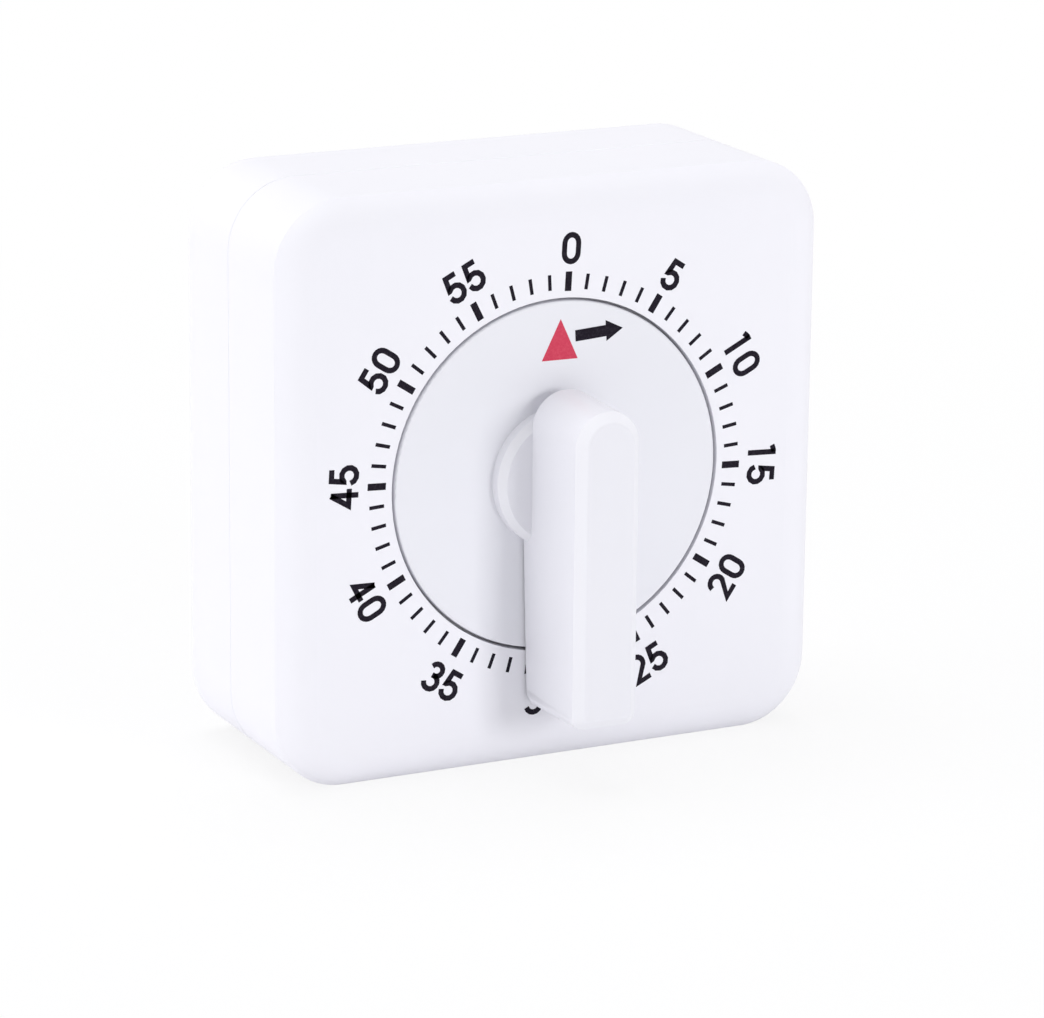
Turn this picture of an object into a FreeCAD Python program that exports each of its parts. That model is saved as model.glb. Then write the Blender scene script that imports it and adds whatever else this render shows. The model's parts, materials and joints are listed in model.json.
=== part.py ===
import FreeCAD, Part
import math
import os

# Wind-up 60 minute countdown timer in a square two-shell case.
# Millimetres. The origin is on the ground under the centre of the case, +Z is up,
# the dial faces -Y and +X is to the right for someone who looks at the dial.

# Case
case_width = 75.0
case_height = 75.0
case_depth = 30.4
case_corner = 9.0
smallest_corner = 0.5
same_plane = 1e-6
front_crown_radius = 5.8
front_crown_drop = 2.3
back_edge_round = 1.5
case_wall = 2.0
inner_edge_round = 2.5
mouth_chamfer = 0.3
front_shell_depth = 16.4
seam_chamfer = 0.25
lip_height = 1.6
lip_wall = 0.9
lip_clearance = 0.1

# Case screws, driven from the back into bosses of the front shell
boss_inset = 8.6
boss_radius = 3.2
case_screw_radius = 1.3
case_screw_clearance = 0.1
case_screw_thread_clearance = 0.05
case_screw_head_radius = 2.4
case_screw_head_height = 1.4
case_screw_recess = 3.0
case_screw_engagement = 8.0
slot_width = 0.7
slot_depth = 0.6

# Dial well of the front shell, and the dial that turns in it
dial_radius = 22.4
dial_side_gap = 0.4
dial_thickness = 1.8
dial_edge_round = 0.25
dial_back_gap = 0.4
well_floor = 1.5
well_wall = 1.2

# Stop that ends the dial's turn: a lug on the well's floor in a channel under the dial.
# The travel is a whole number of escape teeth, seen through the gear train.
dial_travel = 354.0
stop_ring_inset = 2.1
stop_lug_radius = 0.5
stop_lug_angle = 270.0
stop_side_clearance = 0.07
stop_channel_depth = 0.9
stop_channel_width = 1.8
stop_lug_clearance = 0.25

# Knob: a round hub and a lever bar in one moulding
hub_radius = 9.0
hub_height = 2.4
hub_bevel = 0.9
bar_height = 14.8
bar_width = 8.7
bar_top_reach = 11.4
bar_bottom_reach = 29.1
bar_foot_corner = 1.6
bar_draft_angle = 1.5
bar_edge_bevel = 1.2
bar_edge_round = 0.5
bar_foot_gap = 1.0
boss_stem_radius = 3.4
boss_stem_flat = 2.7
boss_stem_clearance = 0.05
boss_stem_length = 3.2
well_hole_clearance = 0.6

# Movement frame
plate_radius = 28.0
plate_thickness = 1.0
plate_gap = 10.0
front_plate_clearance = 1.4
pillar_inset = 3.0
pillar_radius = 1.5
pillar_first_angle = 60.0
post_first_angle = 0.0
frame_fastener_count = 3
post_radius = 2.4
post_screw_radius = 0.9
post_screw_length = 3.6
frame_screw_head_radius = 1.7
frame_screw_head_height = 0.9
pillar_screw_length = 3.0
screw_fit = 0.05

# Main arbor and what sits on it
arbor_radius = 1.5
arbor_in_knob = 7.0
arbor_flat_depth = 0.5
running_clearance = 0.04
press_clearance = 0.0
cut_margin = 1.0
great_teeth = 80
great_module = 0.36
wheel_thickness = 0.7
great_wheel_lift = 0.9
clutch_thickness = 0.25
clutch_arch = 0.35
clutch_radius = 4.2
clutch_arm_count = 3
clutch_arm_width = 1.6
collet_radius = 2.4
collet_height = 1.2
spring_hub_radius = 2.2
arbor_tail = 2.6
clip_thickness = 0.4
clip_radius = 2.8
clip_groove = 0.35
clip_throat = 1.0

# Mainspring
spring_strip_thickness = 0.2
spring_height = 4.2
spring_lift = 5.0
spring_inner_clearance = 0.05
spring_outer_radius = 9.2
spring_turns = 7.5
spiral_steps_per_turn = 24
spring_post_radius = 0.9
spring_post_angle = 90.0
spring_post_ring = 12.2

# Gear train
pinion_teeth = 10
second_teeth = 70
second_module = 0.32
third_teeth = 70
third_module = 0.28
pressure_angle = 25.0
wheel_addendum = 0.8
pinion_addendum = 0.95
wheel_dedendum = 1.2
pinion_dedendum = 1.05
tooth_backlash = 0.24
wheel_rim = 1.5
wheel_spoke_width = 1.5
wheel_spoke_count = 4
wheel_flank_steps = 2
pinion_flank_steps = 3
wheel_hub_radius = 2.0
escape_hub_radius = 1.4
escape_rim = 0.75
train_arbor_radius = 0.7
pivot_radius = 0.35
pivot_proud = 0.3
arbor_shoulder_gap = 0.2
pinion_face_extra = 0.5
train_first_angle = 225.0
second_wheel_lift = 2.4
third_wheel_lift = 3.8
escape_wheel_lift = 5.3
fine_wheel_thickness = 0.5

# Escapement
escape_teeth = 15
escape_radius = 5.0
escape_root_radius = 3.6
escape_tip_width = 0.16
escape_tooth_base = 0.8
escape_rake = 8.0
pallet_drop = 0.15
pallet_width = 0.34
pallet_length = 1.5
pallet_half_span = 45.0
anchor_arm_width = 1.0
anchor_hub_radius = 1.3
balance_radius = 6.0
balance_rim = 0.9
balance_bar_width = 1.1
balance_thickness = 0.8
balance_lift = 6.8
hairspring_strip = 0.12
hairspring_height = 0.5
hairspring_lift = 8.4
hairspring_stud_turn = 90.0
hairspring_inner_clearance = 0.05
hairspring_outer_radius = 4.2
hairspring_turns = 5.0
stud_radius = 0.5
collar_radius = 1.0

# Bell and striking work, behind the rear plate
cam_radius = 5.0
cam_thickness = 0.8
cam_lift = 0.6
cam_notch_depth = 1.3
cam_notch_width = 1.8
bell_centre_x = -2.0
bell_centre_rise = 8.0
bell_radius = 18.5
bell_wall = 0.8
bell_corner = 5.0
bell_front_gap = 3.0
bell_back_gap = 1.2
bell_post_radius = 2.2
bell_screw_radius = 1.2
bell_screw_head_radius = 2.6
bell_screw_head_height = 0.9
bell_screw_length = 4.6
bell_screw_spare = 0.8
hammer_pivot_x = 3.1
hammer_pivot_drop = 15.2
hammer_pin_radius = 1.0
hammer_hub_radius = 2.1
hammer_arm_width = 1.8
hammer_arm_thickness = 0.8
hammer_head_radius = 1.7
hammer_head_height = 5.2
hammer_bell_gap = 0.3
hammer_bell_angle = -50.0
hammer_nose_gap = 0.2
hammer_washer_radius = 1.7
hammer_washer_thickness = 0.4
hammer_spring_thickness = 0.25
hammer_spring_length = 9.0
hammer_spring_height = 1.4
hammer_spring_gap = 0.12
hammer_spring_tip_back = 3.0
hammer_spring_splay = 14.0
hammer_spring_foot_radius = 0.9

# Back of the case
magnet_radius = 6.0
magnet_thickness = 2.0
magnet_fit = 0.1
magnet_side_inset = 13.5
magnet_rise = 17.5
magnet_floor = 0.9
sound_slot_count = 5
sound_slot_length = 20.0
sound_slot_width = 1.2
sound_slot_pitch = 3.0

# Places that follow from the sizes above
front_face = -case_depth / 2
back_face = case_depth / 2
axis_z = case_height / 2
seam_y = front_face + front_shell_depth
front_inner = front_face + case_wall
back_inner = back_face - case_wall
stop_ring_radius = dial_radius - stop_ring_inset
stop_step = (360 - dial_travel) / 2
stop_reach = stop_ring_radius * math.radians(stop_step)
stop_web_width = 2 * (stop_reach - stop_lug_radius - stop_side_clearance)
well_radius = dial_radius + dial_side_gap
well_floor_front = front_face + dial_thickness + dial_back_gap
well_floor_back = well_floor_front + well_floor
front_plate_front = well_floor_back + front_plate_clearance
front_plate_back = front_plate_front + plate_thickness
rear_plate_front = front_plate_back + plate_gap
rear_plate_back = rear_plate_front + plate_thickness
hub_face = front_face - hub_height
bar_face = front_face - bar_height
pillar_ring = plate_radius - pillar_inset
train_ring = great_module * (great_teeth + pinion_teeth) / 2
second_distance = second_module * (second_teeth + pinion_teeth) / 2
third_distance = third_module * (third_teeth + pinion_teeth) / 2
pallet_distance = escape_radius / math.cos(math.radians(pallet_half_span))


def ring_step(chord):
    return math.degrees(2 * math.asin(chord / (2 * train_ring)))


second_angle = train_first_angle
third_angle = second_angle + ring_step(second_distance)
escape_angle = third_angle + ring_step(third_distance)
balance_angle = escape_angle + ring_step(pallet_distance)


# General helpers

def around_axis(radius, angle):
    """The (x, z) place at a radius and an angle from +X about the dial axis."""
    a = math.radians(angle)
    return radius * math.cos(a), axis_z + radius * math.sin(a)


def rod(x, z, y0, y1, radius):
    """A cylinder along Y."""
    start = FreeCAD.Vector(x, y0, z)
    return Part.makeCylinder(radius, y1 - y0, start, FreeCAD.Vector(0, 1, 0))


def tube(x, z, y0, y1, outer, inner):
    return rod(x, z, y0, y1, outer).cut(rod(x, z, y0, y1, inner))


def slab(x0, x1, y0, y1, z0, z1):
    return Part.makeBox(x1 - x0, y1 - y0, z1 - z0, FreeCAD.Vector(x0, y0, z0))


def prism(points, y0, y1):
    """A straight-sided solid along Y over a list of (x, z) corners."""
    corners = [FreeCAD.Vector(x, y0, z) for x, z in points]
    wire = Part.makePolygon(corners + [corners[0]])
    return Part.Face(wire).extrude(FreeCAD.Vector(0, y1 - y0, 0))


def turn_about(shape, x, z, angle):
    """A copy turned about a Y line through (x, z), counter-clockwise seen from the dial."""
    turned = shape.copy()
    turned.rotate(FreeCAD.Vector(x, 0, z), FreeCAD.Vector(0, -1, 0), angle)
    return turned


def fuse_all(shapes):
    whole = shapes[0]
    for shape in shapes[1:]:
        whole = whole.fuse(shape)
    return whole.removeSplitter()


def save(shape, name):
    shape.exportStep("parts/" + name + ".step")


def slotted(head, x, z, y_face, radius, into):
    """Cuts a screwdriver slot; into is +1 when the head's body lies towards +Y."""
    y0, y1 = sorted([y_face, y_face + into * slot_depth])
    return head.cut(slab(x - radius, x + radius, y0, y1, z - slot_width / 2, z + slot_width / 2))


# Case outline

def rounded_square(inset, y):
    """The case outline as a wire at height y, moved in by inset on every side."""
    half = case_width / 2 - inset
    low = inset
    high = case_height - inset
    r = max(case_corner - inset, smallest_corner)
    mid = r * (1 - math.sqrt(0.5))
    v = FreeCAD.Vector
    edges = [
        Part.LineSegment(v(-half + r, y, low), v(half - r, y, low)),
        Part.Arc(v(half - r, y, low), v(half - mid, y, low + mid), v(half, y, low + r)),
        Part.LineSegment(v(half, y, low + r), v(half, y, high - r)),
        Part.Arc(v(half, y, high - r), v(half - mid, y, high - mid), v(half - r, y, high)),
        Part.LineSegment(v(half - r, y, high), v(-half + r, y, high)),
        Part.Arc(v(-half + r, y, high), v(-half + mid, y, high - mid), v(-half, y, high - r)),
        Part.LineSegment(v(-half, y, high - r), v(-half, y, low + r)),
        Part.Arc(v(-half, y, low + r), v(-half + mid, y, low + mid), v(-half + r, y, low)),
    ]
    return Part.Wire([edge.toShape() for edge in edges])


def case_block(inset, y0, y1):
    face = Part.Face(rounded_square(inset, y0))
    return face.extrude(FreeCAD.Vector(0, y1 - y0, 0))


def edges_at(shape, y):
    """The edges that lie wholly in the plane at y."""
    return [e for e in shape.Edges if max(abs(v.Y - y) for v in e.Vertexes) < same_plane]


def boss_places():
    x = case_width / 2 - boss_inset
    return [(sx * x, z) for sx in (-1, 1) for z in (boss_inset, case_height - boss_inset)]


def frame_places(first_angle):
    step = 360.0 / frame_fastener_count
    return [around_axis(pillar_ring, first_angle + i * step) for i in range(frame_fastener_count)]


def crowned_front():
    """The case block whose face curves back by the crown's drop before it meets the sides."""
    drop = min(front_crown_drop, front_crown_radius)
    reach = math.sqrt(2 * front_crown_radius * drop - drop ** 2)
    wide = case_block(reach - front_crown_radius, front_face, seam_y)
    wide = wide.makeFillet(front_crown_radius, edges_at(wide, front_face))
    return wide.common(case_block(0, front_face, seam_y))


def build_front_shell():
    body = crowned_front()
    body = body.makeChamfer(seam_chamfer, edges_at(body, seam_y))
    hollow = case_block(case_wall, front_inner, seam_y)
    body = body.cut(hollow.makeFillet(inner_edge_round, edges_at(hollow, front_inner)))
    body = body.fuse(rod(0, axis_z, front_face + case_wall / 2, well_floor_back, well_radius + well_wall))
    for x, z in frame_places(post_first_angle):
        body = body.fuse(rod(x, z, front_face + case_wall / 2, front_plate_front, post_radius))
    for x, z in boss_places():
        body = body.fuse(rod(x, z, front_face + case_wall / 2, seam_y, boss_radius))
    body = body.cut(rod(0, axis_z, front_face, well_floor_front, well_radius))
    hole = boss_stem_radius + well_hole_clearance
    body = body.cut(rod(0, axis_z, front_face, well_floor_back, hole))
    x, z = around_axis(stop_ring_radius, stop_lug_angle)
    lug_top = front_face + dial_thickness - stop_channel_depth + stop_lug_clearance
    body = body.fuse(rod(x, z, lug_top, well_floor_back, stop_lug_radius))
    for x, z in frame_places(post_first_angle):
        deep = front_plate_front - (post_screw_length - plate_thickness) - screw_fit
        body = body.cut(rod(x, z, deep, front_plate_front, post_screw_radius + screw_fit))
    for x, z in boss_places():
        deep = seam_y - case_screw_engagement - case_screw_clearance
        pilot = case_screw_radius + case_screw_thread_clearance
        body = body.cut(rod(x, z, deep, seam_y, pilot))
    return body.removeSplitter()


def build_rear_shell():
    body = case_block(0, seam_y, back_face)
    body = body.makeFillet(back_edge_round, edges_at(body, back_face))
    body = body.makeChamfer(seam_chamfer, edges_at(body, seam_y))
    body = body.cut(case_block(case_wall, seam_y, back_inner))
    lip_outer = case_wall + lip_clearance
    root = min(seam_y + lip_height, back_inner)
    lip = case_block(lip_outer, seam_y - lip_height, root)
    lip = lip.cut(case_block(lip_outer + lip_wall, seam_y - lip_height, root))
    shelf = case_block(case_wall / 2, seam_y + seam_chamfer * 2, root)
    shelf = shelf.cut(case_block(lip_outer + lip_wall, seam_y + seam_chamfer * 2, root))
    body = body.fuse([lip, shelf])
    for x, z in boss_places():
        body = body.fuse(rod(x, z, seam_y, back_face - case_wall / 2, boss_radius))
    for x, z in magnet_places():
        pocket_back = back_face - magnet_thickness - magnet_floor
        body = body.fuse(rod(x, z, pocket_back, back_face - case_wall / 2, magnet_radius + case_wall / 2))
    for x, z in boss_places():
        body = body.cut(rod(x, z, seam_y, back_face, case_screw_radius + case_screw_clearance))
        head = case_screw_head_radius + case_screw_clearance
        body = body.cut(rod(x, z, back_face - case_screw_recess, back_face, head))
    for x, z in magnet_places():
        pocket = back_face - magnet_thickness - magnet_fit
        body = body.cut(rod(x, z, pocket, back_face, magnet_radius + magnet_fit))
    y0 = back_inner - cut_margin
    y1 = back_face + cut_margin
    for i in range(sound_slot_count):
        z = axis_z + bell_centre_rise + (i - (sound_slot_count - 1) / 2) * sound_slot_pitch
        x0 = bell_centre_x - sound_slot_length / 2
        x1 = bell_centre_x + sound_slot_length / 2
        r = sound_slot_width / 2
        slot = slab(x0, x1, y0, y1, z - r, z + r).fuse([rod(x0, z, y0, y1, r), rod(x1, z, y0, y1, r)])
        body = body.cut(slot)
    body = body.removeSplitter()
    return body.makeChamfer(mouth_chamfer, mouth_edges(body))


def mouth_edges(shell):
    """The edges of the holes in the back face, without the back face's own outline."""
    x = case_width / 2 - back_edge_round - mouth_chamfer
    z = case_height / 2 - back_edge_round - mouth_chamfer
    inside = [e for e in edges_at(shell, back_face) if max(abs(v.X) for v in e.Vertexes) < x]
    return [e for e in inside if max(abs(v.Z - axis_z) for v in e.Vertexes) < z]


def magnet_places():
    x = case_width / 2 - magnet_side_inset
    return [(-x, magnet_rise), (x, magnet_rise)]


def build_magnets():
    face = back_face - magnet_fit
    magnets = [rod(x, z, face - magnet_thickness, face, magnet_radius) for x, z in magnet_places()]
    return Part.makeCompound(magnets)


def build_case_screws():
    screws = []
    head_back = back_face - case_screw_recess + case_screw_head_height
    for x, z in boss_places():
        head = rod(x, z, back_face - case_screw_recess, head_back, case_screw_head_radius)
        head = slotted(head, x, z, head_back, case_screw_head_radius, -1)
        shank = rod(x, z, seam_y - case_screw_engagement, back_face - case_screw_recess, case_screw_radius)
        screws.append(head.fuse(shank).removeSplitter())
    return Part.makeCompound(screws)


# Dial and knob

def double_flat(radius, flat, y0, y1):
    """A round stem with two flats, as wide as twice flat."""
    stem = rod(0, axis_z, y0, y1, radius)
    return stem.common(slab(-flat, flat, y0, y1, axis_z - radius, axis_z + radius))


def build_dial_disc():
    disc = rod(0, axis_z, front_face, front_face + dial_thickness, dial_radius)
    disc = disc.makeFillet(dial_edge_round, edges_at(disc, front_face))
    clear = boss_stem_clearance
    back = front_face + dial_thickness
    hole = double_flat(boss_stem_radius + clear, boss_stem_flat + clear, front_face, back)
    return disc.cut(hole).cut(stop_channel())


def stop_channel():
    """The ring channel under the dial, open but for the web that meets the stop lug."""
    y1 = front_face + dial_thickness
    y0 = y1 - stop_channel_depth
    half = stop_channel_width / 2
    ring = tube(0, axis_z, y0, y1, stop_ring_radius + half, stop_ring_radius - half)
    inner = stop_ring_radius - stop_channel_width
    outer = stop_ring_radius + stop_channel_width
    web = slab(inner, outer, y0, y1, axis_z - stop_web_width / 2, axis_z + stop_web_width / 2)
    return ring.cut(turn_about(web, 0, axis_z, stop_lug_angle - stop_step))


def bar_outline(y):
    """The lever bar's outline at y: a half-round top and a foot with two rounded corners."""
    grow = (y - bar_face) * math.tan(math.radians(bar_draft_angle))
    half = bar_width / 2 + grow
    top = axis_z + bar_top_reach + grow
    foot = axis_z - bar_bottom_reach - grow
    r = bar_foot_corner + grow
    mid = r * (1 - math.sqrt(0.5))
    v = FreeCAD.Vector
    edges = [
        Part.Arc(v(-half, y, top - half), v(0, y, top), v(half, y, top - half)),
        Part.LineSegment(v(half, y, top - half), v(half, y, foot + r)),
        Part.Arc(v(half, y, foot + r), v(half - mid, y, foot + mid), v(half - r, y, foot)),
        Part.LineSegment(v(half - r, y, foot), v(-half + r, y, foot)),
        Part.Arc(v(-half + r, y, foot), v(-half + mid, y, foot + mid), v(-half, y, foot + r)),
        Part.LineSegment(v(-half, y, foot + r), v(-half, y, top - half)),
    ]
    return Part.Wire([edge.toShape() for edge in edges])


def build_lever_knob():
    foot = front_face - bar_foot_gap
    bar = Part.makeLoft([bar_outline(bar_face), bar_outline(foot)], True, True)
    bar = bar.makeChamfer(bar_edge_bevel, edges_at(bar, bar_face))
    bar = bar.makeFillet(bar_edge_round, edges_at(bar, bar_face))
    reach = bar_top_reach + bar_width
    bar = bar.cut(slab(-reach, reach, hub_face, foot, axis_z, axis_z + reach))
    hub = rod(0, axis_z, hub_face, front_face, hub_radius)
    hub = hub.makeChamfer(hub_bevel, edges_at(hub, hub_face))
    stem_end = front_face + boss_stem_length
    stem = double_flat(boss_stem_radius, boss_stem_flat, front_face, stem_end)
    knob = fuse_all([bar, hub, stem])
    bore_front = front_face - arbor_in_knob - press_clearance
    return knob.cut(arbor_profile(bore_front, stem_end, press_clearance))


def arbor_profile(y0, y1, grow):
    """The flatted front end of the main arbor, and the same shape for the knob's bore."""
    r = arbor_radius + grow
    flat = arbor_radius - arbor_flat_depth + grow
    return rod(0, axis_z, y0, y1, r).common(slab(-r, r, y0, y1, axis_z - r, axis_z + flat))


# Movement frame

def train_places():
    return [around_axis(train_ring, a) for a in (second_angle, third_angle, escape_angle, balance_angle)]


def build_plate(y0, y1):
    body = rod(0, axis_z, y0, y1, plate_radius)
    body = body.cut(rod(0, axis_z, y0, y1, arbor_radius + running_clearance))
    for x, z in train_places():
        body = body.cut(rod(x, z, y0, y1, pivot_radius + running_clearance))
    for x, z in frame_places(pillar_first_angle):
        body = body.cut(rod(x, z, y0, y1, post_screw_radius + screw_fit))
    return body


def build_front_plate():
    body = build_plate(front_plate_front, front_plate_back)
    for x, z in frame_places(post_first_angle):
        body = body.cut(rod(x, z, front_plate_front, front_plate_back, post_screw_radius + screw_fit))
    return body


def build_rear_plate():
    return build_plate(rear_plate_front, rear_plate_back)


def build_pillars():
    pillars = []
    for x, z in frame_places(pillar_first_angle):
        pillar = rod(x, z, front_plate_back, rear_plate_front, pillar_radius)
        hole = post_screw_radius + screw_fit
        deep = pillar_screw_length - plate_thickness + screw_fit
        pillar = pillar.cut(rod(x, z, front_plate_back, front_plate_back + deep, hole))
        pillar = pillar.cut(rod(x, z, rear_plate_front - deep, rear_plate_front, hole))
        pillars.append(pillar)
    return Part.makeCompound(pillars)


def frame_screw(x, z, y_seat, length, head_side):
    """A slotted screw whose head sits at y_seat; head_side is the way the head stands out."""
    y0, y1 = sorted([y_seat, y_seat + head_side * frame_screw_head_height])
    head = rod(x, z, y0, y1, frame_screw_head_radius)
    face = y_seat + head_side * frame_screw_head_height
    head = slotted(head, x, z, face, frame_screw_head_radius, -head_side)
    y2, y3 = sorted([y_seat, y_seat - head_side * length])
    return head.fuse(rod(x, z, y2, y3, post_screw_radius)).removeSplitter()


def build_pillar_screws():
    screws = []
    for x, z in frame_places(pillar_first_angle):
        screws.append(frame_screw(x, z, front_plate_front, pillar_screw_length, -1))
        screws.append(frame_screw(x, z, rear_plate_back, pillar_screw_length, 1))
    return Part.makeCompound(screws)


def build_post_screws():
    places = frame_places(post_first_angle)
    return Part.makeCompound([frame_screw(x, z, front_plate_back, post_screw_length, 1) for x, z in places])


# Toothed wheels

def involute_angle(radius, base):
    """The polar angle of an involute at a radius, from its start on the base circle."""
    if radius <= base:
        return 0.0
    t = math.sqrt((radius / base) ** 2 - 1)
    return t - math.atan(t)


def gear_outline(x, z, teeth, module, addendum, dedendum, tooth_angle, steps):
    """Corners of a spur gear with one tooth's middle at tooth_angle, in degrees."""
    pitch = module * teeth / 2
    base = pitch * math.cos(math.radians(pressure_angle))
    tip = pitch + addendum * module
    root = pitch - dedendum * module
    half_tooth = (math.pi * module / 2 - tooth_backlash * module / 2) / (2 * pitch)
    at_base = half_tooth + involute_angle(pitch, base)
    start = max(base, root)
    radii = [start + (tip - start) * i / steps for i in range(steps + 1)]
    flank = [(r, at_base - involute_angle(r, base)) for r in radii]
    if root < base:
        flank = [(root, at_base)] + flank
    points = []
    for k in range(teeth):
        middle = math.radians(tooth_angle) + 2 * math.pi * k / teeth
        for r, a in flank:
            points.append((x + r * math.cos(middle - a), z + r * math.sin(middle - a)))
        for r, a in reversed(flank):
            points.append((x + r * math.cos(middle + a), z + r * math.sin(middle + a)))
    return points


def spoke_windows(x, z, y0, y1, outer, inner):
    """The openings between a wheel's spokes, as one shape to cut away."""
    ring = tube(x, z, y0, y1, outer, inner)
    step = 180.0 / (wheel_spoke_count / 2)
    for k in range(wheel_spoke_count // 2):
        arm = slab(x - outer, x + outer, y0, y1, z - wheel_spoke_width / 2, z + wheel_spoke_width / 2)
        ring = ring.cut(turn_about(arm, x, z, k * step))
    return ring


def build_wheel(x, z, y0, thickness, teeth, module, tooth_angle, bore, hub):
    y1 = y0 + thickness
    outline = gear_outline(x, z, teeth, module, wheel_addendum, wheel_dedendum, tooth_angle,
                           wheel_flank_steps)
    wheel = prism(outline, y0, y1)
    root = module * teeth / 2 - wheel_dedendum * module
    wheel = wheel.cut(spoke_windows(x, z, y0, y1, root - wheel_rim, hub))
    return wheel.cut(rod(x, z, y0, y1, bore))


def build_pinion_arbor(x, z, y0, y1, module, tooth_angle):
    """An arbor with pivots in both plates and leaves cut on it between y0 and y1."""
    shoulder_front = front_plate_back + arbor_shoulder_gap
    shoulder_rear = rear_plate_front - arbor_shoulder_gap
    pivot = rod(x, z, front_plate_front - pivot_proud, rear_plate_back + pivot_proud, pivot_radius)
    arbor = pivot.fuse(rod(x, z, shoulder_front, shoulder_rear, train_arbor_radius))
    outline = gear_outline(x, z, pinion_teeth, module, pinion_addendum, pinion_dedendum, tooth_angle,
                           pinion_flank_steps)
    return arbor.fuse(prism(outline, y0, y1)).removeSplitter()


def gap_angle(direction):
    """A tooth angle that leaves a gap of the pinion facing a direction."""
    return direction + 180.0 / pinion_teeth


def direction(place, target):
    return math.degrees(math.atan2(target[1] - place[1], target[0] - place[0]))


dial_place = (0.0, axis_z)
second_place, third_place, escape_place, balance_place = train_places()
great_wheel_y = front_plate_back + great_wheel_lift
second_wheel_y = front_plate_back + second_wheel_lift
third_wheel_y = front_plate_back + third_wheel_lift
escape_wheel_y = front_plate_back + escape_wheel_lift
balance_y = front_plate_back + balance_lift
hairspring_y = front_plate_back + hairspring_lift
spring_y = front_plate_back + spring_lift


def build_great_wheel():
    angle = direction(dial_place, second_place)
    return build_wheel(*dial_place, great_wheel_y, wheel_thickness, great_teeth, great_module,
                       angle, arbor_radius, wheel_hub_radius + arbor_radius)


def build_second_wheel():
    angle = direction(second_place, third_place)
    return build_wheel(*second_place, second_wheel_y, fine_wheel_thickness, second_teeth, second_module,
                       angle, train_arbor_radius, wheel_hub_radius)


def build_third_wheel():
    angle = direction(third_place, escape_place)
    return build_wheel(*third_place, third_wheel_y, fine_wheel_thickness, third_teeth, third_module,
                       angle, train_arbor_radius, wheel_hub_radius)


def pinion_between(place, driver, wheel_y, thickness, module):
    facing = direction(place, driver)
    y0 = wheel_y - pinion_face_extra / 2
    y1 = wheel_y + thickness + pinion_face_extra / 2
    return build_pinion_arbor(*place, y0, y1, module, gap_angle(facing))


def build_second_pinion():
    return pinion_between(second_place, dial_place, great_wheel_y, wheel_thickness, great_module)


def build_third_pinion():
    return pinion_between(third_place, second_place, second_wheel_y, fine_wheel_thickness, second_module)


def build_escape_pinion():
    return pinion_between(escape_place, third_place, third_wheel_y, fine_wheel_thickness, third_module)


# Main arbor and clutch

def build_main_arbor():
    tail = rear_plate_back + arbor_tail
    shaft = rod(0, axis_z, front_face + boss_stem_length, tail, arbor_radius)
    arbor = arbor_profile(front_face - arbor_in_knob, front_face + boss_stem_length, 0).fuse(shaft)
    groove_y = rear_plate_back + cam_lift + cam_thickness
    floor = arbor_radius - clip_groove
    groove = tube(0, axis_z, groove_y, groove_y + clip_thickness, arbor_radius + cut_margin, floor)
    return arbor.cut(groove).removeSplitter()


def build_arbor_clip():
    y0 = rear_plate_back + cam_lift + cam_thickness
    ring = tube(0, axis_z, y0, y0 + clip_thickness, clip_radius, arbor_radius - clip_groove)
    return ring.cut(slab(-clip_throat, clip_throat, y0, y0 + clip_thickness, axis_z, axis_z + clip_radius))


clutch_y = great_wheel_y + wheel_thickness


def build_clutch_spring():
    """A star washer with arms that arch back onto the great wheel."""
    hub = tube(0, axis_z, clutch_y + clutch_arch, clutch_y + clutch_arch + clutch_thickness,
               collet_radius, arbor_radius)
    reach = (collet_radius + arbor_radius) / 2
    corners = [
        (reach, clutch_y + clutch_arch),
        (clutch_radius, clutch_y),
        (clutch_radius, clutch_y + clutch_thickness),
        (reach, clutch_y + clutch_arch + clutch_thickness),
    ]
    half = clutch_arm_width / 2
    points = [FreeCAD.Vector(x, y, axis_z - half) for x, y in corners]
    arm = Part.Face(Part.makePolygon(points + [points[0]])).extrude(FreeCAD.Vector(0, 0, clutch_arm_width))
    arms = [turn_about(arm, 0, axis_z, k * 360.0 / clutch_arm_count) for k in range(clutch_arm_count)]
    return fuse_all([hub] + arms)


def build_clutch_collet():
    y0 = clutch_y + clutch_arch + clutch_thickness
    return tube(0, axis_z, y0, y0 + collet_height, collet_radius, arbor_radius)


def build_spring_hub():
    return tube(0, axis_z, spring_y, spring_y + spring_height, spring_hub_radius, arbor_radius)


# Springs

def spiral_strip(x, z, y0, height, inner, outer, turns, strip, end_angle):
    """A flat spiral strip that ends at the outer radius at end_angle, in degrees."""
    steps = int(turns * spiral_steps_per_turn)
    inside = []
    outside = []
    for i in range(steps + 1):
        share = i / steps
        a = math.radians(end_angle) - (1 - share) * turns * 2 * math.pi
        r = inner + (outer - inner) * share
        inside.append((x + (r - strip / 2) * math.cos(a), z + (r - strip / 2) * math.sin(a)))
        outside.append((x + (r + strip / 2) * math.cos(a), z + (r + strip / 2) * math.sin(a)))
    return prism(inside + outside[::-1], y0, y0 + height)


def build_mainspring():
    inner = spring_hub_radius + spring_inner_clearance + spring_strip_thickness / 2
    coil = spiral_strip(0, axis_z, spring_y, spring_height, inner, spring_outer_radius,
                        spring_turns, spring_strip_thickness, spring_post_angle)
    x, z = around_axis(spring_post_ring, spring_post_angle)
    eye_outer = spring_post_radius + spring_strip_thickness
    eye = tube(x, z, spring_y, spring_y + spring_height, eye_outer, spring_post_radius)
    half = spring_strip_thickness / 2
    x0, z0 = around_axis(spring_outer_radius, spring_post_angle)
    end = around_axis(spring_post_ring - eye_outer + half, spring_post_angle)
    leg = bar_between((x0, z0), end, spring_strip_thickness, spring_y, spring_y + spring_height)
    return fuse_all([coil, leg, eye])


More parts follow.
